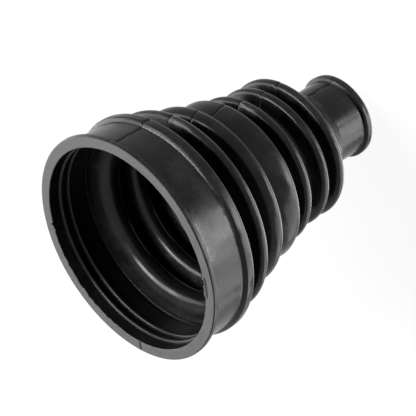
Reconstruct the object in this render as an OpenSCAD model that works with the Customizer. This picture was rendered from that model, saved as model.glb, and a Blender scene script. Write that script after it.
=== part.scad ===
/*
Rubber bellows boot, moulded in one piece: a wide mouth with a lip, a band seat and two sealing
ribs, six folds that get narrower, and a neck with a band seat and a small end lip.
Millimetres. The boot stands on the end of its neck, at Z = 0, with its mouth facing up. Places
along the axis are worked out as depths from the face of the mouth, and turned over at the end.
*/

/* [Mouth] */
// Diameter of the bore that fits over the joint housing
mouth_bore_d = 76.6; // [68:0.2:86]
// Thickness of the wall under the wide clamp band
mouth_wall = 2.3; // [1.8:0.1:3]
// Height of the lip above the seat of the wide band
lip_h = 1.9; // [1.2:0.1:3]
// Thickness of the lip along the axis
lip_t = 2; // [1.4:0.1:3]
// Bevel on the outer edges of both lips
lip_bevel = 0.3; // [0.1:0.05:0.6]
// Bevel on the inner edge of the mouth
mouth_bevel = 0.2; // [0.1:0.05:0.5]
// Width of the seat for the wide clamp band
band_w = 13.4; // [11:0.2:20]

/* [Sealing ribs] */
// Distance from the mouth to the middle of the first rib
rib_start = 5.3; // [3:0.1:6.5]
// Distance from the first rib to the second
rib_pitch = 3.8; // [2.5:0.1:5]
// Height of a sealing rib, and half its width
rib_h = 0.55; // [0.3:0.05:0.9]
// Depth of the relief groove at the inner end of the bore
relief_h = 0.45; // [0.2:0.05:0.7]
// Width of the relief groove
relief_w = 1.6; // [1:0.1:2.5]

/* [Shoulder] */
// Height of the shoulder above the seat of the wide band
shoulder_h = 1.4; // [1:0.1:3]
// Length over which the shoulder rises from the seat
shoulder_rise = 1.2; // [0.6:0.1:2]
// Bevel on the near edge of the shoulder
shoulder_bevel = 0.35; // [0.1:0.05:0.6]
// Width of the flat top of the shoulder
shoulder_w = 2.2; // [1.2:0.1:4]
// Rounding of the far edge of the shoulder
shoulder_round = 1.3; // [0.8:0.1:2]

/* [Folds] */
// Thickness of the wall in the folds
wall = 1.8; // [1.4:0.1:2.2]
// Outer radius of the rounding on a crest
crest_round = 2; // [1.6:0.1:2.4]
// Outer radius of the wider rounding on the mouth side of crest 2
crest_2_near_round = 4; // [2.5:0.1:4.6]
// Rounding on the mouth side of crest 3, as a share of one that would reach to the bottom of valley 3
crest_3_near_fit = 0.85; // [0.6:0.01:0.92]
// How far valley 3 sits from the middle of its gap, towards the mouth
valley_3_lean = 2.8; // [2:0.1:3]
// Rounding of valley 3 on the outside
valley_3_round = 0.3; // [0.1:0.1:1]
// Least length along the axis that is left between the rounding of a crest and that of a valley
flank_run = 0.5; // [0.2:0.1:1]
// Distance from the shoulder to crest 1
gap_1 = 10; // [9:0.1:14]
// Distance from crest 1 to crest 2
gap_2 = 11.7; // [9:0.1:14]
// Distance from crest 2 to crest 3
gap_3 = 12.1; // [9:0.1:14]
// Distance from crest 3 to crest 4
gap_4 = 8.9; // [8:0.1:12]
// Distance from crest 4 to crest 5
gap_5 = 10.9; // [8:0.1:13]
// Distance from crest 5 to crest 6
gap_6 = 8; // [7.2:0.1:11]
// Outer diameter of crest 1
crest_1_d = 77.4; // [72:0.2:84]
// Outer diameter of crest 2
crest_2_d = 69.4; // [64:0.2:76]
// Outer diameter of crest 3
crest_3_d = 62.9; // [58:0.1:68]
// Outer diameter of crest 4
crest_4_d = 57.9; // [53:0.1:62]
// Outer diameter of crest 5
crest_5_d = 54.7; // [50:0.1:58]
// Outer diameter of crest 6
crest_6_d = 54.6; // [50:0.1:58]
// Depth of valley 1, below the mean of the shoulder and crest 1
fold_1_h = 9.35; // [7:0.05:11]
// Depth of valley 2, below the mean of crests 1 and 2
fold_2_h = 7.5; // [6:0.1:9]
// Depth of valley 3, below the mean of crests 2 and 3
fold_3_h = 5.4; // [4.5:0.1:7]
// Depth of valley 4, below the mean of crests 3 and 4
fold_4_h = 6; // [4.5:0.1:7]
// Depth of valley 5, below the mean of crests 4 and 5
fold_5_h = 7; // [5:0.1:8]
// Depth of valley 6, below the mean of crests 5 and 6
fold_6_h = 5.5; // [4.5:0.1:6.5]

/* [Neck] */
// Distance from crest 6 to the crease where its far side eases off
crease_run = 5.5; // [4.5:0.1:7]
// Depth of the crease below crest 6
crease_h = 5.6; // [4.5:0.1:6.5]
// Rounding of the crease on the outside
crease_round = 0.6; // [0.4:0.1:1.5]
// Length of the cone from the crease to the neck
cone_run = 7.5; // [6:0.1:10]
// Height of the small end of the cone above the seat of the small band
cone_h = 1.2; // [0.6:0.1:2.5]
// Length of the ledge between the cone and the seat
ledge_run = 0.4; // [0.2:0.1:1]
// Diameter of the bore that fits over the shaft
neck_bore_d = 25; // [20:0.2:28]
// Thickness of the wall of the neck under the small clamp band
neck_wall = 2.4; // [1.8:0.1:3]
// Width of the seat for the small clamp band
neck_band_w = 12.6; // [10:0.2:20]
// Distance from the small end of the cone to where the bore begins
bore_start = 1.8; // [1.2:0.1:3]
// Height of the end lip above the seat
end_lip_h = 1.4; // [0.8:0.1:3]
// Length of the slope up to the end lip
end_lip_rise = 1; // [0.5:0.1:2]
// Thickness of the end lip
end_lip_t = 2.6; // [2:0.1:4]
// Rounding of the end lip
end_lip_round = 1; // [0.4:0.1:1.2]
// Bevel on the edge of the neck bore
neck_bevel = 0.3; // [0.1:0.05:0.5]

/* [Hidden] */
$fn = 40;
// Most that the flat steps of a rounding may stand off its true arc
arc_error = wall / 10;
// Two points nearer than this are one
same_point = 0.001;

mouth_bore_r = mouth_bore_d / 2;
relief_r = mouth_bore_r + relief_h;
band_r = mouth_bore_r + mouth_wall;
lip_r = band_r + lip_h;
shoulder_r = band_r + shoulder_h;
neck_bore_r = neck_bore_d / 2;
neck_r = neck_bore_r + neck_wall;
end_lip_r = neck_r + end_lip_h;

rise_depth = lip_t + band_w;
shoulder_depth = rise_depth + shoulder_rise;
shoulder_end = shoulder_depth + shoulder_w;
// The bore ends in a sharp edge under the shoulder
edge_depth = shoulder_depth + shoulder_w / 2;

gaps = [gap_1, gap_2, gap_3, gap_4, gap_5, gap_6];
folds = [fold_1_h, fold_2_h, fold_3_h, fold_4_h, fold_5_h, fold_6_h];
crest_r = [crest_1_d, crest_2_d, crest_3_d, crest_4_d, crest_5_d, crest_6_d] / 2;
leans = [0, 0, valley_3_lean, 0, 0, 0];
last_fold = len(gaps) - 1;
function total(list, count) = count == 0 ? 0 : list[count - 1] + total(list, count - 1);
function crest_depth(fold) = shoulder_end + total(gaps, fold + 1);
function crest_before(fold) = fold == 0 ? shoulder_r : crest_r[fold - 1];
function valley_r(fold) = (crest_before(fold) + crest_r[fold]) / 2 - folds[fold];

valley_3_run = gap_3 / 2 + valley_3_lean;
valley_3_drop = crest_r[2] - valley_r(2);
crest_3_near_round = crest_3_near_fit * (valley_3_run ^ 2 + valley_3_drop ^ 2) / (2 * valley_3_drop);
near_rounds = [crest_round, crest_2_near_round, crest_3_near_round, crest_round, crest_round, crest_round];

crease_depth = crest_depth(last_fold) + crease_run;
crease_r = crest_r[last_fold] - crease_h;
cone_depth = crease_depth + cone_run;
neck_depth = cone_depth + ledge_run;
rise_2_depth = neck_depth + neck_band_w;
end_lip_depth = rise_2_depth + end_lip_rise;
height = end_lip_depth + end_lip_t;
bore_depth = cone_depth + bore_start;

/*
The middle of the wall runs along arcs joined by straight flanks. Each arc is given as
[depth, r, bend]: its centre, and its radius, which is minus where the wall bends outwards.
*/
function crest_arc(fold, round) = [crest_depth(fold), crest_r[fold] - round, round - wall / 2];
function wide_bend(fold) = gaps[fold] / 2 - (near_rounds[fold] - wall / 2) - flank_run;
function valley_arc(fold) =
    let (bend = leans[fold] > 0 ? valley_3_round + wall / 2 : wide_bend(fold))
    [crest_depth(fold) - gaps[fold] / 2 - leans[fold], valley_r(fold) - wall / 2 + bend, -bend];
function fold_arc(fold) = [
    valley_arc(fold),
    if (near_rounds[fold] != crest_round) crest_arc(fold, near_rounds[fold]),
    crest_arc(fold, crest_round)
];
crease_arc = [crease_depth, crease_r + crease_round, -crease_round - wall / 2];
fold_arcs = [for (fold = [0:last_fold]) each fold_arc(fold)];
wall_arcs = concat(fold_arcs, [crease_arc]);

// The same arcs, moved by half the wall to its outer or its inner face, and sharp where none is left
function moved(bend, by) = bend > 0 ? max(0, bend + by) : min(0, bend + by);
function face_arcs(side) = [for (arc = wall_arcs) [arc[0], arc[1], moved(arc[2], side * wall / 2)]];

// Direction of the straight flank from arc a to arc b, which is level where both are of one crest
function flank(a, b) =
    let (across = [b[0] - a[0], b[1] - a[1]])
    across[0] == 0 ? 0 : atan2(across[1], across[0]) - asin((a[2] - b[2]) / norm(across));

// Flat steps for a turn of an arc
function arc_steps(bend, turn) =
    bend == 0 ? 0 : ceil(turn / (2 * acos(1 - min(1, arc_error / abs(bend)))));

// Points [r, depth] along an arc, as the direction of travel turns from one angle to the other
function arc_points(arc, from, to) =
    let (steps = arc_steps(arc[2], abs(to - from)))
    [for (i = [0:steps]) let (turn = steps == 0 ? from : from + (to - from) * i / steps)
        [arc[1] + arc[2] * cos(turn), arc[0] - arc[2] * sin(turn)]];

// Points [r, depth] along a row of arcs and the flanks between them
function all_points(arcs, first, last) = [
    for (i = [0:len(arcs) - 1])
        let (from = i == 0 ? first : flank(arcs[i - 1], arcs[i]))
        let (to = i == len(arcs) - 1 ? last : flank(arcs[i], arcs[i + 1]))
        each arc_points(arcs[i], from, to)
];

// The same, with each point that two arcs share kept once
function chain(arcs, first, last) =
    let (points = all_points(arcs, first, last))
    [for (i = [0:len(points) - 1])
        if (i == 0 || norm(points[i] - points[max(0, i - 1)]) > same_point) points[i]];

// A sharp corner in a row of arcs
function corner(depth, r) = [depth, r, 0];

mouth_outside = [
    [lip_r - lip_bevel, 0],
    [lip_r, lip_bevel],
    [lip_r, lip_t - lip_bevel],
    [lip_r - lip_bevel, lip_t],
    [band_r, lip_t],
    [band_r, rise_depth],
    [shoulder_r - shoulder_bevel, shoulder_depth - shoulder_bevel],
    [shoulder_r, shoulder_depth],
];

shoulder_arc = [shoulder_end, shoulder_r - shoulder_round, shoulder_round];
outside = chain(concat([shoulder_arc], face_arcs(1), [corner(cone_depth, neck_r + cone_h)]), 0, 0);

neck_outside = [
    [neck_r, neck_depth],
    [neck_r, rise_2_depth],
    [end_lip_r - lip_bevel, end_lip_depth - lip_bevel],
    [end_lip_r, end_lip_depth],
];
end_lip_arc = [height - end_lip_round, end_lip_r - end_lip_round, end_lip_round];
neck_end = concat(
    arc_points(end_lip_arc, 0, -90),
    [[neck_bore_r + neck_bevel, height], [neck_bore_r, height - neck_bevel]]
);

inside_ends = [corner(edge_depth, mouth_bore_r), corner(bore_depth, neck_bore_r)];
inside_up = chain(concat([inside_ends[0]], face_arcs(-1), [inside_ends[1]]), 0, 0);
inside = [for (i = [len(inside_up) - 1:-1:0]) inside_up[i]];

// A half-round rib that stands in from the bore, from its far side to its near side
function rib(depth) =
    [for (i = [0:3]) [mouth_bore_r - rib_h * sin(i * 60), depth + rib_h * cos(i * 60)]];

mouth_inside = concat(
    [[relief_r, edge_depth], [relief_r, edge_depth - relief_w], [mouth_bore_r, edge_depth - relief_w]],
    rib(rib_start + rib_pitch),
    rib(rib_start),
    [[mouth_bore_r, mouth_bevel], [mouth_bore_r + mouth_bevel, 0]]
);

section = concat(mouth_outside, outside, neck_outside, neck_end, inside, mouth_inside);

module boot() {
    color([0.07, 0.07, 0.075])
        rotate_extrude()
            polygon([for (point = section) [point[0], height - point[1]]]);
}

boot();
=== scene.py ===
# Rubber bellows boot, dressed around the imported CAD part. Lengths are in mm, but names in _M are in metres.

import math

import bpy
import numpy as np
from mathutils import Matrix, Vector


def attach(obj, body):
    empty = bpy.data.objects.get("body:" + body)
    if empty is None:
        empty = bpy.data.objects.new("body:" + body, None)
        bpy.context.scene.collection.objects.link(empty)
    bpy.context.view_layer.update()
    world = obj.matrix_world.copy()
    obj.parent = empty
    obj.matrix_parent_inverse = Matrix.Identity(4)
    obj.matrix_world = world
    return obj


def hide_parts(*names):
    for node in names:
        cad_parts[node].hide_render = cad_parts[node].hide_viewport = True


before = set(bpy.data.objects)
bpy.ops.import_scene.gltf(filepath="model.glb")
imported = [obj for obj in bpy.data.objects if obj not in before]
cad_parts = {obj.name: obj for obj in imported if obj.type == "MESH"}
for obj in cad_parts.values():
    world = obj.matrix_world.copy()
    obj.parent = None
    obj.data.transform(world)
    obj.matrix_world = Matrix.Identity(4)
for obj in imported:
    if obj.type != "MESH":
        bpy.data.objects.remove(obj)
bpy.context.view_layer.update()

MM = 0.001

# Camera

VIEW_AZIMUTH = 39.69
VIEW_ELEVATION = 33.99
VIEW_ROLL = -122.46
VIEW_AIM = (-2.374, -1.970, 72.125)
VIEW_DISTANCE = 664.55
SENSOR = 36.0
FOCAL = 164.42
CLIP_START_M = 0.01
CLIP_END_M = 20.0

azimuth = math.radians(VIEW_AZIMUTH)
elevation = math.radians(VIEW_ELEVATION)
roll = math.radians(VIEW_ROLL)
back = Vector(
    (
        math.sin(azimuth) * math.cos(elevation),
        -math.cos(azimuth) * math.cos(elevation),
        math.sin(elevation),
    )
)
level = Vector((math.cos(azimuth), math.sin(azimuth), 0.0))
upright = back.cross(level)
right = level * math.cos(roll) + upright * math.sin(roll)
up = upright * math.cos(roll) - level * math.sin(roll)

camera_data = bpy.data.cameras.new("camera")
camera_data.lens = FOCAL
camera_data.sensor_width = SENSOR
camera_data.clip_start = CLIP_START_M
camera_data.clip_end = CLIP_END_M
camera = bpy.data.objects.new("camera", camera_data)
bpy.context.collection.objects.link(camera)
camera_turn = Matrix((right, up, back)).transposed().to_4x4()
camera_place = Matrix.Translation((Vector(VIEW_AIM) + back * VIEW_DISTANCE) * MM)
camera.matrix_world = camera_place @ camera_turn
bpy.context.scene.camera = camera

# Sizes, as in the part's source, apart from fuller sealing ribs

MOUTH_BORE_R = 38.3
MOUTH_WALL = 2.3
LIP_H = 1.9
LIP_T = 2.0
LIP_BEVEL = 0.3
MOUTH_BEVEL = 0.2
BAND_W = 13.4
RIB_START = 5.3
RIB_PITCH = 3.8
RIB_H = 0.8
RIB_HALF = 0.8
RELIEF_H = 0.45
RELIEF_W = 1.6
SHOULDER_H = 1.4
SHOULDER_RISE = 1.2
SHOULDER_BEVEL = 0.35
SHOULDER_W = 2.2
SHOULDER_ROUND = 1.3
WALL = 1.8
CREST_ROUND = 2.0
CREST_2_NEAR_ROUND = 4.0
CREST_3_NEAR_FIT = 0.85
VALLEY_3_LEAN = 2.8
VALLEY_3_ROUND = 0.3
FLANK_RUN = 0.5
GAPS = (10.0, 11.7, 12.1, 8.9, 10.9, 8.0)
CREST_D = (77.4, 69.4, 62.9, 57.9, 54.7, 54.6)
FOLD_H = (9.35, 7.5, 5.4, 6.0, 7.0, 5.5)
CREASE_RUN = 5.5
CREASE_H = 5.6
CREASE_ROUND = 0.6
CONE_RUN = 7.5
CONE_H = 1.2
LEDGE_RUN = 0.4
NECK_BORE_R = 12.5
NECK_WALL = 2.4
NECK_BAND_W = 12.6
BORE_START = 1.8
END_LIP_H = 1.4
END_LIP_RISE = 1.0
END_LIP_T = 2.6
END_LIP_ROUND = 1.0
NECK_BEVEL = 0.3

BAND_R = MOUTH_BORE_R + MOUTH_WALL
LIP_R = BAND_R + LIP_H
SHOULDER_R = BAND_R + SHOULDER_H
NECK_R = NECK_BORE_R + NECK_WALL
END_LIP_R = NECK_R + END_LIP_H
RISE = LIP_T + BAND_W
SHOULDER = RISE + SHOULDER_RISE
SHOULDER_END = SHOULDER + SHOULDER_W
EDGE = SHOULDER + SHOULDER_W / 2
CREST_R = [d / 2 for d in CREST_D]
CREST_AT = [SHOULDER_END + sum(GAPS[: i + 1]) for i in range(len(GAPS))]
VALLEY_R = [(a + b) / 2 - h for a, b, h in zip([SHOULDER_R] + CREST_R, CREST_R, FOLD_H)]
LEAN = (0, 0, VALLEY_3_LEAN, 0, 0, 0)
VALLEY_3_RUN = GAPS[2] / 2 + VALLEY_3_LEAN
VALLEY_3_DROP = CREST_R[2] - VALLEY_R[2]
CREST_3_NEAR_ROUND = CREST_3_NEAR_FIT * (VALLEY_3_RUN**2 + VALLEY_3_DROP**2) / (2 * VALLEY_3_DROP)
NEAR_ROUND = (CREST_ROUND, CREST_2_NEAR_ROUND, CREST_3_NEAR_ROUND) + (CREST_ROUND,) * 3
CREASE = CREST_AT[-1] + CREASE_RUN
CREASE_R = CREST_R[-1] - CREASE_H
CONE = CREASE + CONE_RUN
NECK = CONE + LEDGE_RUN
NECK_RISE = NECK + NECK_BAND_W
END_LIP = NECK_RISE + END_LIP_RISE
HEIGHT = END_LIP + END_LIP_T
BORE = CONE + BORE_START

# Section of the wall, as points (r, depth from the mouth)

ARC_STEP = 15.0
INSIDE_STEP = 24.0
SAME_POINT = 0.01
RIB_STEPS = 8


def wall_arcs():
    """The arcs of the wall's middle line as (depth, r, bend), with a negative bend in the valleys."""
    arcs = []
    for i, gap in enumerate(GAPS):
        bend = gap / 2 - (NEAR_ROUND[i] - WALL / 2) - FLANK_RUN
        if LEAN[i] > 0:
            bend = VALLEY_3_ROUND + WALL / 2
        arcs.append((CREST_AT[i] - gap / 2 - LEAN[i], VALLEY_R[i] - WALL / 2 + bend, -bend))
        if NEAR_ROUND[i] != CREST_ROUND:
            arcs.append((CREST_AT[i], CREST_R[i] - NEAR_ROUND[i], NEAR_ROUND[i] - WALL / 2))
        arcs.append((CREST_AT[i], CREST_R[i] - CREST_ROUND, CREST_ROUND - WALL / 2))
    arcs.append((CREASE, CREASE_R + CREASE_ROUND, -CREASE_ROUND - WALL / 2))
    return arcs


def face_arcs(side):
    """The arcs of the wall's outside for side 1, and of its inside for side -1."""
    moved = []
    for depth, r, bend in wall_arcs():
        change = bend + side * WALL / 2
        moved.append((depth, r, max(0.0, change) if bend > 0 else min(0.0, change)))
    return moved


def flank(a, b):
    """The angle in degrees at which a straight flank leaves arc a and meets arc b."""
    run, rise = b[0] - a[0], b[1] - a[1]
    if run == 0:
        return 0.0
    return math.degrees(math.atan2(rise, run) - math.asin((a[2] - b[2]) / math.hypot(run, rise)))


def arc_points(arc, start, end, most=ARC_STEP):
    depth, r, bend = arc
    steps = 0 if bend == 0 else max(1, math.ceil(abs(end - start) / most))
    points = []
    for i in range(steps + 1):
        angle = math.radians(start + (end - start) * i / max(1, steps))
        points.append((r + bend * math.cos(angle), depth - bend * math.sin(angle)))
    return points


def chain(arcs, first, last, most=ARC_STEP):
    points = []
    for i, arc in enumerate(arcs):
        start = first if i == 0 else flank(arcs[i - 1], arc)
        end = last if i == len(arcs) - 1 else flank(arc, arcs[i + 1])
        points += arc_points(arc, start, end, most)
    return [p for i, p in enumerate(points) if i == 0 or math.dist(p, points[i - 1]) > SAME_POINT]


def rib(depth):
    points = []
    for i in range(RIB_STEPS + 1):
        turn = math.pi * i / RIB_STEPS
        points.append((MOUTH_BORE_R - RIB_H * math.sin(turn), depth + RIB_HALF * math.cos(turn)))
    return points


def section():
    mouth_outside = [
        (LIP_R - LIP_BEVEL, 0),
        (LIP_R, LIP_BEVEL),
        (LIP_R, LIP_T - LIP_BEVEL),
        (LIP_R - LIP_BEVEL, LIP_T),
        (BAND_R, LIP_T),
        (BAND_R, RISE),
        (SHOULDER_R - SHOULDER_BEVEL, SHOULDER - SHOULDER_BEVEL),
        (SHOULDER_R, SHOULDER),
    ]
    shoulder_arc = (SHOULDER_END, SHOULDER_R - SHOULDER_ROUND, SHOULDER_ROUND)
    outside = chain([shoulder_arc] + face_arcs(1) + [(CONE, NECK_R + CONE_H, 0)], 0, 0)
    neck_outside = [
        (NECK_R, NECK),
        (NECK_R, NECK_RISE),
        (END_LIP_R - LIP_BEVEL, END_LIP - LIP_BEVEL),
        (END_LIP_R, END_LIP),
    ]
    end_arc = (HEIGHT - END_LIP_ROUND, END_LIP_R - END_LIP_ROUND, END_LIP_ROUND)
    neck_end = arc_points(end_arc, 0, -90)
    neck_end += [(NECK_BORE_R + NECK_BEVEL, HEIGHT), (NECK_BORE_R, HEIGHT - NECK_BEVEL)]
    inside_arcs = [(EDGE, MOUTH_BORE_R, 0)] + face_arcs(-1) + [(BORE, NECK_BORE_R, 0)]
    inside = chain(inside_arcs, 0, 0, INSIDE_STEP)
    relief = MOUTH_BORE_R + RELIEF_H
    mouth_inside = [(relief, EDGE), (relief, EDGE - RELIEF_W), (MOUTH_BORE_R, EDGE - RELIEF_W)]
    mouth_inside += rib(RIB_START + RIB_PITCH) + rib(RIB_START)
    mouth_inside += [(MOUTH_BORE_R, MOUTH_BEVEL), (MOUTH_BORE_R + MOUTH_BEVEL, 0)]
    return mouth_outside + outside + neck_outside + neck_end + inside[::-1] + mouth_inside


# A sharp corner of the section becomes a small round edge

EDGE_ROUND = 0.22
EDGE_STEPS = 2
SHARP = 25.0
EDGE_SHARE = 0.35


def soften(points):
    out = []
    count = len(points)
    for i in range(count):
        a, b, c = (np.array(points[(i + k) % count], float) for k in (-1, 0, 1))
        one, two = b - a, c - b
        len_one, len_two = np.linalg.norm(one), np.linalg.norm(two)
        one, two = one / len_one, two / len_two
        bend = math.degrees(math.acos(max(-1.0, min(1.0, float(one @ two)))))
        if bend < SHARP:
            out.append(tuple(b))
            continue
        wanted = EDGE_ROUND * math.tan(math.radians(bend / 2))
        back_off = min(wanted, EDGE_SHARE * len_one, EDGE_SHARE * len_two)
        start, end = b - one * back_off, b + two * back_off
        for step in range(EDGE_STEPS + 1):
            t = step / EDGE_STEPS
            out.append(tuple((1 - t) ** 2 * start + 2 * t * (1 - t) * b + t**2 * end))
    return out


# The seats, the mouth's face and the two slopes get more points, so that their marks have a shape

SEAT_STEP = 0.9
FACE_STEP = 0.4
SLOPE_STEP = 0.3


def refine(points):
    out = []
    for i, a in enumerate(points):
        b = points[(i + 1) % len(points)]
        out.append(a)
        on_seat = a[0] == b[0] and a[0] in (BAND_R, NECK_R)
        on_face = a[1] == b[1] == 0
        on_shoulder = a[0] < b[0] and RISE < a[1] < b[1] < SHOULDER
        on_end_lip = a[0] < b[0] and NECK_RISE < a[1] < b[1] < END_LIP
        if not (on_seat or on_face or on_shoulder or on_end_lip):
            continue
        finest = SEAT_STEP if on_seat else FACE_STEP if on_face else SLOPE_STEP
        steps = math.ceil(math.dist(a, b) / finest)
        for step in range(1, steps):
            share = step / steps
            out.append((a[0] + (b[0] - a[0]) * share, a[1] + (b[1] - a[1]) * share))
    return out


# Angles round the axis in degrees, closer together at the parting lines, the flash and the nick

LINE_ANGLES = np.array([0.0, 0.14, 0.3, 0.5, 0.8, 1.3])
FLASH_SPAN = (-98.0, -82.0)
FLASH_STEP = 0.6
NICK_SPAN = (93.0, 100.0)
NICK_STEP = 0.5
PLAIN_STEP = 1.7
SAME_ANGLE_DIGITS = 4


def line_angles():
    stops = [LINE_ANGLES, 180 - LINE_ANGLES, 180 + LINE_ANGLES, 360 - LINE_ANGLES[1:]]
    stops.append(np.arange(FLASH_SPAN[0], FLASH_SPAN[1], FLASH_STEP) + 360)
    stops.append(np.arange(NICK_SPAN[0], NICK_SPAN[1], NICK_STEP))
    clear = LINE_ANGLES[-1]
    plain_spans = (
        (clear, NICK_SPAN[0]),
        (NICK_SPAN[1], 180 - clear),
        (180 + clear, FLASH_SPAN[0] + 360),
        (FLASH_SPAN[1] + 360, 360 - clear),
    )
    for start, end in plain_spans:
        steps = math.ceil((end - start) / PLAIN_STEP)
        stops.append(np.linspace(start, end, steps + 1)[1:-1])
    return np.unique(np.round(np.concatenate(stops), SAME_ANGLE_DIGITS))


# Smooth random values and soft limits

DRAW_COUNT = 4096
DRAW_START = 1000


def eased(share):
    return share * share * (3 - 2 * share)


def wander(places, step, seed):
    """Smooth random values from -1 to 1 at places given in the same unit as step."""
    draws = np.random.default_rng(seed).uniform(-1, 1, DRAW_COUNT)
    t = np.asarray(places) / step + DRAW_START
    low = np.floor(t).astype(int)
    share = eased(t - low)
    return draws[low % DRAW_COUNT] * (1 - share) + draws[(low + 1) % DRAW_COUNT] * share


def wanders(places, waves, seed, mean=0):
    """A mean with waves of (height, length) added, whose seeds count up from the first."""
    parts = (height * wander(places, length, seed + i) for i, (height, length) in enumerate(waves))
    return sum(parts, mean)


def window(value, start, end, fade):
    """1 between start and end, easing to 0 over the fade on each side."""
    rise = np.clip((value - start) / fade, 0, 1)
    fall = np.clip((end - value) / fade, 0, 1)
    return eased(np.minimum(rise, fall))


def bell(value, width):
    return np.exp(-((value / width) ** 2))


# Plain shape: a row for each point of the section and a column for each angle round the axis

profile = np.array(refine(soften(section())))
degrees = line_angles()
radii = np.repeat(profile[:, :1], len(degrees), axis=1)
depths = np.repeat(profile[:, 1:], len(degrees), axis=1)
smooth_r = radii.copy()
smooth_depth = depths.copy()
angle = np.repeat(degrees[None, :], len(profile), axis=0)
outer = (np.arange(len(profile)) <= int(np.argmax(profile[:, 1])))[:, None]

# Degrees from the near parting line, to the far one, and from the far one with a sign

from_line = (angle + 180) % 360 - 180
to_far_line = 180 - np.abs(from_line)
from_far_line = np.where(from_line > 0, -to_far_line, to_far_line)

# A moulded part is never quite round: waves as (number round the axis, height, place in degrees)

OUT_OF_ROUND = ((2, 0.10, 20), (3, 0.07, 75), (5, 0.04, 130), (9, 0.02, 10))
TWIST_LENGTH = 30
for count, most, phase in OUT_OF_ROUND:
    radii += most * np.cos(np.radians(count * angle + phase) + smooth_depth / TWIST_LENGTH)

# The two halves of the mould don't quite meet, except at the mouth's face and at the end

HALF_SHIFT = 0.12
HALF_SLIP = 0.10
FACE_KEPT = 0.4
END_KEPT = 0.8
KEPT_FADE = 1.2
away = window(smooth_depth, FACE_KEPT, HEIGHT - END_KEPT, KEPT_FADE) * outer
far_half = from_line > 0
radii += HALF_SHIFT * np.cos(np.radians(angle)) * far_half * away
depths += HALF_SLIP * far_half * away

# Parting lines: a ragged groove down the outside, on both sides

GROOVE_W = 0.34
GROOVE_H = 0.5
GROOVE_SPAN = 6
STRAY_WAVES = ((0.25, 1.1), (0.12, 0.45))
STRENGTH_MEAN = 0.75
STRENGTH_WAVES = ((0.25, 1.6),)
NEAR_LINE_SEED = 3
FAR_LINE_SEED = 5
for gap, seed in ((from_line, NEAR_LINE_SEED), (from_far_line, FAR_LINE_SEED)):
    arc = np.radians(gap) * smooth_r
    path = wanders(smooth_depth, STRAY_WAVES, seed)
    strength = wanders(smooth_depth, STRENGTH_WAVES, seed + len(STRAY_WAVES), STRENGTH_MEAN)
    beside = (np.abs(gap) < GROOVE_SPAN) * outer
    radii -= GROOVE_H * strength * bell(arc - path, GROOVE_W) * beside * away

# Flats on crests 1 and 4, as (place in the lists, degrees): they start at the near line and run out

FLATS = ((0, 30.0), (3, 26.0))
FLAT_TILT = 52.0
FLAT_HALF = 38
FLAT_TAPER = 0.7
FLAT_FADE = 5
FLAT_LEAST = 0.01
ARC_NEAR = 0.1
LINE_HALF = 0.35
flat_wear = np.zeros_like(radii)
for crest, run_out in FLATS:
    toward = CREST_AT[crest] - smooth_depth
    over = smooth_r - (CREST_R[crest] - CREST_ROUND)
    tilt = np.degrees(np.arctan2(toward, over)) - FLAT_TILT
    reach = np.hypot(toward, over)
    on_arc = (reach < CREST_ROUND + ARC_NEAR) & (reach > CREST_ROUND - ARC_NEAR) & outer
    left_over = np.clip(1 + from_line / run_out, 0, 1)
    half = np.where(from_line < -LINE_HALF, FLAT_HALF * left_over**FLAT_TAPER, 0)
    half = np.maximum(half, FLAT_LEAST)
    on_flat = window(tilt, -half - FLAT_FADE, half + FLAT_FADE, FLAT_FADE) * on_arc
    flat_wear = np.maximum(flat_wear, on_flat * (from_line < -LINE_HALF) * left_over)
    push = (1 - np.cos(np.radians(tilt))) * CREST_ROUND * on_flat
    radii += push * math.cos(math.radians(FLAT_TILT))
    depths -= push * math.sin(math.radians(FLAT_TILT))

# The slopes up to the shoulder and to the end lip are fuller than in the source

SHOULDER_BULGE = 0.18
END_BULGE = 0.2
BULGE_LOW = 0.6
for start, rise, bulge in ((RISE, SHOULDER_RISE, SHOULDER_BULGE), (NECK_RISE, END_LIP_RISE, END_BULGE)):
    slope = np.clip((smooth_depth - start) / rise, 0, 1) * outer
    radii += bulge * np.sin(np.pi * slope**BULGE_LOW)

# The seat's far edge is torn beside the parting line

TORN_END = -50
TORN_FADE = 25
TORN_BEFORE = 0.1
TORN_PAST = 0.4
TORN_EDGE = 0.25
torn_run = (from_line < -LINE_HALF) * np.clip((from_line - TORN_END) / TORN_FADE, 0, 1)
torn = window(smooth_depth, RISE - TORN_BEFORE, RISE + TORN_PAST, TORN_EDGE) * outer * torn_run

# Scuffs on the seat, beside the lip and in front of the far edge. A span is (from, to, fade) in degrees

LIP_SCUFF = ((0.75, 1.2), (0.25, 4.0))
LIP_SCUFF_SPAN = (-80, -54, 6)
FAR_SCUFF_SPAN = (-76, -54, 5)
FAR_SCUFF_BEFORE = 0.2
FAR_SCUFF_W = 0.4
BAND_NEAR = 0.3
LIP_NEAR = 0.01
beside_lip = sum(amount * bell(smooth_depth - LIP_T, width) for amount, width in LIP_SCUFF)
on_band = (smooth_depth > LIP_T - LIP_NEAR) * (smooth_r < BAND_R + BAND_NEAR) * outer
lip_scuff = beside_lip * on_band * window(from_line, *LIP_SCUFF_SPAN)
far_edge = bell(smooth_depth - RISE + FAR_SCUFF_BEFORE, FAR_SCUFF_W)
far_scuff = far_edge * on_band * window(from_line, *FAR_SCUFF_SPAN)

# All the rubbed places together, which the material shows paler

LIP_SCUFF_WEAR = 1.2
FAR_SCUFF_WEAR = 0.5
FLAT_WEAR = 0.25
TORN_WEAR = 0.42
wear = LIP_SCUFF_WEAR * lip_scuff + FAR_SCUFF_WEAR * far_scuff + FLAT_WEAR * flat_wear + TORN_WEAR * torn
wear = np.clip(wear, 0, 1)

# Flash at the inner edge of the mouth: a ragged flap with a slit behind it. Waves are (height, length)

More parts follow.
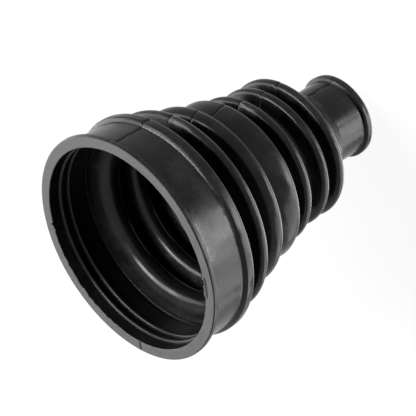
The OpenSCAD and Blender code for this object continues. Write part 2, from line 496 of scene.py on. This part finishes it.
INNER_W = 0.4
INNER_H = 0.6
FLASH_FROM = -96.5
FLASH_TO = -83.5
FLASH_FADE = 1.5
FLASH_H = 0.7
FLASH_MEAN = 0.55
FLASH_WAVES = ((0.7, 1.6), (0.4, 0.6))
FLASH_SEED = 21
SLIT_FROM_BORE = 0.85
SLIT_W = 0.3
SLIT_H = 0.7
SLIT_MEAN = 0.9
SLIT_WAVES = ((1, 1.2),)
SLIT_SEED = 23
ON_FACE = 0.05
inner = (smooth_r < MOUTH_BORE_R + INNER_W) & (smooth_depth < INNER_H)
ragged = np.clip(wanders(angle, FLASH_WAVES, FLASH_SEED, FLASH_MEAN), 0, 1)
flash = window(from_line, FLASH_FROM, FLASH_TO, FLASH_FADE)
radii -= FLASH_H * flash * ragged * inner
slit = flash * bell(smooth_r - MOUTH_BORE_R - SLIT_FROM_BORE, SLIT_W) * (smooth_depth < ON_FACE)
depths += SLIT_H * slit * np.clip(wanders(angle, SLIT_WAVES, SLIT_SEED, SLIT_MEAN), 0, 1)

# A nick and a ragged trim at the same edge, on the other side of the mouth

NICK_AT = 96
NICK_W = 0.6
NICK_H = 0.9
RAG_SPAN = (96.5, 168, 3)
RAG_H = 0.45
RAG_WAVES = ((0.5, 3.1), (0.5, 1.8))
RAG_SEED = 31
RAG_GAIN = 1.6
RAG_INWARD = 0.7
radii += NICK_H * bell(from_line - NICK_AT, NICK_W) * inner
rag = window(from_line, *RAG_SPAN) * wanders(angle, RAG_WAVES, RAG_SEED)
radii += RAG_H * np.clip(RAG_GAIN * rag, -RAG_INWARD, 1) * inner

# Pale dust on the mouth's face, which the far parting line cuts, and painted light on crest 1's flank towards
# the mouth: a pale patch that stands in for light on a flank that lies in shade

FACE_DEPTH = 0.1
FACE_IN = 0.05
FACE_OUT = 0.02
CUT_W = 0.4
CUT_H = 0.35
PAINTED_LIGHT_FLANK = (0.8, 6.5, 1.5)
PAINTED_LIGHT_END = 35
PAINTED_LIGHT_FADE = 12
SLIT_CLEAN = 1.5
face_inside = smooth_r > MOUTH_BORE_R + FACE_IN
face_outside = smooth_r < LIP_R - LIP_BEVEL - FACE_OUT
face = (smooth_depth < FACE_DEPTH) & face_inside & face_outside
face_cut = bell(to_far_line * smooth_r * math.pi / 180, CUT_W) * face
near_flank = window(CREST_AT[0] - smooth_depth, *PAINTED_LIGHT_FLANK) * outer
# Painted light: crest 1's shaded near flank, on one side of the near parting line, gets the pale dust colour
# so that it looks lit
painted_flank_light = near_flank * (from_line > LINE_HALF) * np.clip((PAINTED_LIGHT_END - from_line) / PAINTED_LIGHT_FADE, 0, 1)
dust_and_painted_light = np.where(face, 1.0, painted_flank_light) * (1 - face_cut) * (1 - np.clip(SLIT_CLEAN * slit, 0, 1))
depths += CUT_H * face_cut

# The thin dust of handling lies mostly outside

INSIDE_DUST = 0.3
outside = np.where(outer, 1.0, INSIDE_DUST) * np.ones_like(radii)

# Mesh


def make_mesh(name, radii, depths, angles):
    """A closed ring mesh: radii and depths are (points, angles) arrays in mm."""
    points, turns = radii.shape
    x = radii * np.cos(angles) * MM
    y = radii * np.sin(angles) * MM
    z = (HEIGHT - depths) * MM
    coordinates = np.stack([x, y, z], axis=-1).reshape(-1, 3)
    i = np.arange(points)[:, None]
    j = np.arange(turns)[None, :]
    a = i * turns + j
    b = ((i + 1) % points) * turns + j
    c = ((i + 1) % points) * turns + (j + 1) % turns
    d = i * turns + (j + 1) % turns
    faces = np.stack([a, b, c, d], axis=-1).reshape(-1, 4)
    mesh = bpy.data.meshes.new(name)
    mesh.vertices.add(len(coordinates))
    mesh.vertices.foreach_set("co", coordinates.ravel())
    mesh.loops.add(faces.size)
    mesh.loops.foreach_set("vertex_index", faces.ravel())
    mesh.polygons.add(len(faces))
    mesh.polygons.foreach_set("loop_start", np.arange(0, faces.size, 4))
    mesh.polygons.foreach_set("loop_total", np.full(len(faces), 4))
    mesh.update(calc_edges=True)
    mesh.validate()
    mesh.polygons.foreach_set("use_smooth", np.ones(len(faces), dtype=bool))
    thing = bpy.data.objects.new(name, mesh)
    bpy.context.collection.objects.link(thing)
    return thing


boot = make_mesh("bellows_boot", radii, depths, np.radians(degrees)[None, :])
# The dust layer holds the face's real dust and the painted light on crest 1's flank
for name, values in (("dust_and_painted_light", dust_and_painted_light), ("wear", wear), ("torn", torn), ("outside", outside)):
    layer = boot.data.attributes.new(name, "FLOAT", "POINT")
    layer.data.foreach_set("value", values.astype(np.float32).ravel())

# Rubber

rubber = bpy.data.materials.new("rubber")
rubber.use_nodes = True
rubber_tree = rubber.node_tree
shader = rubber_tree.nodes["Principled BSDF"]


def add_node(kind, sources=(), **settings):
    """A shader node; sources are outputs or numbers for its inputs in order, None leaves one alone."""
    made = rubber_tree.nodes.new(kind)
    for name, value in settings.items():
        setattr(made, name, value)
    for socket, source in zip(made.inputs, sources):
        if isinstance(source, bpy.types.NodeSocket):
            rubber_tree.links.new(source, socket)
        elif source is not None:
            socket.default_value = source
    return made


def sums(operation, *sources):
    return add_node("ShaderNodeMath", sources, operation=operation).outputs[0]


def noise(vector, scale, detail, roughness=0.5):
    made = add_node("ShaderNodeTexNoise", noise_dimensions="3D")
    rubber_tree.links.new(vector, made.inputs["Vector"])
    made.inputs["Scale"].default_value = scale
    made.inputs["Detail"].default_value = detail
    made.inputs["Roughness"].default_value = roughness
    return made.outputs[0]


def spread(value, start, end, low, high):
    """Low where the value is below start, high where it is above end, and smooth between."""
    made = add_node("ShaderNodeMapRange", (value, start, end, low, high), interpolation_type="SMOOTHSTEP")
    return made.outputs[0]


def mixed(share, first, second):
    """A colour between two. A colour mix takes its share first and its colours after five other inputs."""
    return add_node("ShaderNodeMix", (share, *[None] * 5, first, second), data_type="RGBA").outputs[2]


def stored(name):
    return add_node("ShaderNodeAttribute", attribute_name=name).outputs["Fac"]


# Where a point is, in mm, and the same point as (distance from the axis, height, angle)

RING_STRETCH = 0.6
scaled = add_node("ShaderNodeVectorMath", operation="SCALE")
rubber_tree.links.new(add_node("ShaderNodeTexCoord").outputs["Object"], scaled.inputs[0])
scaled.inputs["Scale"].default_value = 1 / MM
place_mm = scaled.outputs[0]
parts = add_node("ShaderNodeSeparateXYZ", (place_mm,))
squares = sums("ADD", sums("POWER", parts.outputs[0], 2.0), sums("POWER", parts.outputs[1], 2.0))
from_axis = sums("SQRT", squares)
round_axis = sums("MULTIPLY", sums("ARCTAN2", parts.outputs[1], parts.outputs[0]), RING_STRETCH)
rings = add_node("ShaderNodeCombineXYZ", (from_axis, parts.outputs[2], round_axis)).outputs[0]

grain = noise(place_mm, scale=2.6, detail=3.0, roughness=0.6)
waves = noise(place_mm, scale=0.22, detail=3.0)
smudges = noise(place_mm, scale=0.11, detail=5.0, roughness=0.6)
marks = noise(rings, scale=2.2, detail=4.0, roughness=0.7)
speckle = noise(place_mm, scale=1.2, detail=5.0, roughness=0.7)
scratches = noise(rings, scale=5.0, detail=3.0, roughness=0.7)
dust_and_painted_light_layer = stored("dust_and_painted_light")
wear_layer = stored("wear")
torn_layer = stored("torn")
outside_layer = stored("outside")

# How each noise turns into dust, wear and gloss, as (start, end, low, high)

THIN_SMUDGES = (0.42, 0.66, 0.0, 1.0)
THIN_SPECKS = (0.4, 0.65, 0.05, 0.16)
THIN_SCRATCHES = (0.6, 0.72, 0.0, 0.14)
RUBBED_SPECKS = (0.42, 0.6, 0.0, 0.6)
RUBBED_SCRATCHES = (0.4, 0.6, 0.1, 0.7)
DUST_MARKS = (0.3, 0.7, 0.82, 1.06)
DUST_SPECKS = (0.35, 0.65, 0.66, 1.24)
DUST_SMUDGES = (0.35, 0.65, 0.9, 1.1)
GLOSS_SMUDGES = (0.3, 0.7, 0.17, 0.27)
GLOSS_MARKS = (0.35, 0.7, -0.03, 0.05)

# Colour

RUBBER_BLACK = (0.004, 0.004, 0.0043, 1)
# The dusty colour serves both real dust and the painted light on crest 1's flank
RUBBER_DUST_AND_PAINTED_LIGHT = (0.09, 0.09, 0.092, 1)
RUBBER_SCUFFED = (0.4, 0.4, 0.4, 1)
thin_dust = sums("MULTIPLY", spread(smudges, *THIN_SMUDGES), spread(speckle, *THIN_SPECKS))
thin_dust = sums("ADD", thin_dust, spread(scratches, *THIN_SCRATCHES))
thin_dust = sums("MULTIPLY", thin_dust, outside_layer)
rubbed = sums("ADD", spread(speckle, *RUBBED_SPECKS), spread(scratches, *RUBBED_SCRATCHES))
rubbed = sums("MULTIPLY", wear_layer, rubbed)
# The cover is real dust, plus the painted light on crest 1's flank
dust_cover_and_painted_light = sums("MULTIPLY", spread(marks, *DUST_MARKS), spread(speckle, *DUST_SPECKS))
dust_cover_and_painted_light = sums("MULTIPLY", dust_and_painted_light_layer, dust_cover_and_painted_light)
dust_cover_and_painted_light = sums("MULTIPLY", dust_cover_and_painted_light, spread(smudges, *DUST_SMUDGES))
dust_cover_and_painted_light = sums("ADD", dust_cover_and_painted_light, thin_dust)
colour = mixed(rubbed, mixed(dust_cover_and_painted_light, RUBBER_BLACK, RUBBER_DUST_AND_PAINTED_LIGHT), RUBBER_SCUFFED)
rubber_tree.links.new(colour, shader.inputs["Base Color"])

# Gloss

DUST_ROUGHNESS = 0.55
RUBBER_SPECULAR = 0.17
gloss = sums("ADD", spread(smudges, *GLOSS_SMUDGES), sums("MULTIPLY", dust_cover_and_painted_light, DUST_ROUGHNESS))
gloss = sums("ADD", gloss, spread(marks, *GLOSS_MARKS))
rubber_tree.links.new(gloss, shader.inputs["Roughness"])
shader.inputs["Specular IOR Level"].default_value = RUBBER_SPECULAR

# Fine relief, in shares of the bump's height

BUMP_MM = 0.05
WAVE_SHARE = 1.2
GRAIN_SHARE = 0.03
MARK_SHARE = 0.045
TEAR_SHARE = 3.5
fine = sums("ADD", sums("MULTIPLY", grain, GRAIN_SHARE), sums("MULTIPLY", marks, MARK_SHARE))
heights = sums("ADD", sums("MULTIPLY", waves, WAVE_SHARE), fine)
tears = sums("MULTIPLY", torn_layer, sums("MULTIPLY", speckle, TEAR_SHARE))
bump = add_node("ShaderNodeBump")
bump.inputs["Strength"].default_value = 1.0
bump.inputs["Distance"].default_value = BUMP_MM * MM
rubber_tree.links.new(sums("ADD", heights, tears), bump.inputs["Height"])
rubber_tree.links.new(bump.outputs[0], shader.inputs["Normal"])
boot.data.materials.append(rubber)

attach(boot, "root")
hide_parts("boot")

# Floor, which is white to the camera apart from the boot's shadow

WHITE_RAYS = ("Is Camera Ray", "Is Glossy Ray", "Is Transmission Ray")
FLOOR_HALF_M = 4.0
PAPER_COLOUR = (0.85, 0.85, 0.85, 1)
PAPER_ROUGHNESS = 0.9
PAPER_GLOW = 0.93


def white_share(tree):
    """1 for the rays that see the white background, and 0 for the rest."""
    rays = tree.nodes.new("ShaderNodeLightPath")
    share = rays.outputs[WHITE_RAYS[0]]
    for name in WHITE_RAYS[1:]:
        most = tree.nodes.new("ShaderNodeMath")
        most.operation = "MAXIMUM"
        tree.links.new(share, most.inputs[0])
        tree.links.new(rays.outputs[name], most.inputs[1])
        share = most.outputs[0]
    return share


floor_mesh = bpy.data.meshes.new("floor")
corners = [
    (-FLOOR_HALF_M, -FLOOR_HALF_M, 0),
    (FLOOR_HALF_M, -FLOOR_HALF_M, 0),
    (FLOOR_HALF_M, FLOOR_HALF_M, 0),
    (-FLOOR_HALF_M, FLOOR_HALF_M, 0),
]
floor_mesh.from_pydata(corners, [], [(0, 1, 2, 3)])
floor = bpy.data.objects.new("floor", floor_mesh)
bpy.context.collection.objects.link(floor)
floor.visible_shadow = False
floor.visible_glossy = False
floor.visible_diffuse = False
paper = bpy.data.materials.new("paper")
paper.use_nodes = True
paper_tree = paper.node_tree
paper_shader = paper_tree.nodes["Principled BSDF"]
paper_shader.inputs["Base Color"].default_value = PAPER_COLOUR
paper_shader.inputs["Roughness"].default_value = PAPER_ROUGHNESS
glow = paper_tree.nodes.new("ShaderNodeEmission")
glow.inputs["Strength"].default_value = 1.0
glow_share = paper_tree.nodes.new("ShaderNodeMath")
glow_share.operation = "MULTIPLY"
paper_tree.links.new(white_share(paper_tree), glow_share.inputs[0])
glow_share.inputs[1].default_value = PAPER_GLOW
blend = paper_tree.nodes.new("ShaderNodeMixShader")
paper_tree.links.new(glow_share.outputs[0], blend.inputs[0])
paper_tree.links.new(paper_shader.outputs[0], blend.inputs[1])
paper_tree.links.new(glow.outputs[0], blend.inputs[2])
paper_tree.links.new(blend.outputs[0], paper_tree.nodes["Material Output"].inputs["Surface"])
floor.data.materials.append(paper)

# World, white to the same rays and dim to the rest

WORLD_LIGHT = 0.1
world = bpy.data.worlds.new("world")
bpy.context.scene.world = world
world.use_nodes = True
sky = world.node_tree
sky_range = sky.nodes.new("ShaderNodeMapRange")
sky_range.inputs["To Min"].default_value = WORLD_LIGHT
sky_range.inputs["To Max"].default_value = 1.0
sky.links.new(white_share(sky), sky_range.inputs["Value"])
sky.nodes["Background"].inputs["Color"].default_value = (1, 1, 1, 1)
sky.links.new(sky_range.outputs[0], sky.nodes["Background"].inputs["Strength"])

# Soft boxes round the boot, as (name, side, height, width, tall, lean, brightness)

LAMP_AIM_M = Vector((0, 0, 0.06))
LAMP_DISTANCE_M = 0.9
SOFTBOXES = (
    ("lamp_right", 86, -4, 26, 24, 0, 9.5),
    ("lamp_right_front", 69, 7, 15, 24, 0, 13),
    ("lamp_right_high", 84, 20, 30, 16, 0, 3.0),
    ("lamp_right_low", 90, -26, 44, 22, 0, 4.6),
    ("lamp_right_under", 92, -46, 60, 18, 0, 3.8),
    ("lamp_behind_right", 123, 3, 42, 38, 0, 4.5),
    ("lamp_left", -58, 4, 24, 42, -45, 14),
    ("lamp_left_core", -48, -5, 13, 22, -45, 18),
    ("lamp_left_side", -86, 14, 36, 26, 0, 4.6),
    ("lamp_far_left", -116, 10, 26, 32, 0, 4.6),
    ("lamp_behind_left", -146, -3, 20, 40, 0, 4),
)


def softbox(name, side, height, width, tall, lean, brightness):
    """An area lamp seen from the boot: angles in degrees from the photo's viewpoint, and a brightness."""
    swing, lift = math.radians(side), math.radians(height)
    sideways = right * (math.sin(swing) * math.cos(lift))
    direction = sideways + up * math.sin(lift) + back * (math.cos(swing) * math.cos(lift))
    across = right * math.cos(swing) - back * math.sin(swing)
    over = direction.cross(across)
    spin = math.radians(lean)
    long_side = over * math.cos(spin) + across * math.sin(spin)
    short_side = long_side.cross(direction)
    lamp = bpy.data.lights.new(name, "AREA")
    lamp.shape = "RECTANGLE"
    lamp.size = 2 * LAMP_DISTANCE_M * math.tan(math.radians(width / 2))
    lamp.size_y = 2 * LAMP_DISTANCE_M * math.tan(math.radians(tall / 2))
    lamp.energy = math.pi * lamp.size * lamp.size_y * brightness
    thing = bpy.data.objects.new(name, lamp)
    bpy.context.collection.objects.link(thing)
    facing = Matrix((short_side, long_side, direction)).transposed().to_4x4()
    thing.matrix_world = Matrix.Translation(LAMP_AIM_M + direction * LAMP_DISTANCE_M) @ facing


for box in SOFTBOXES:
    softbox(*box)

bpy.context.scene.view_settings.view_transform = "Standard"
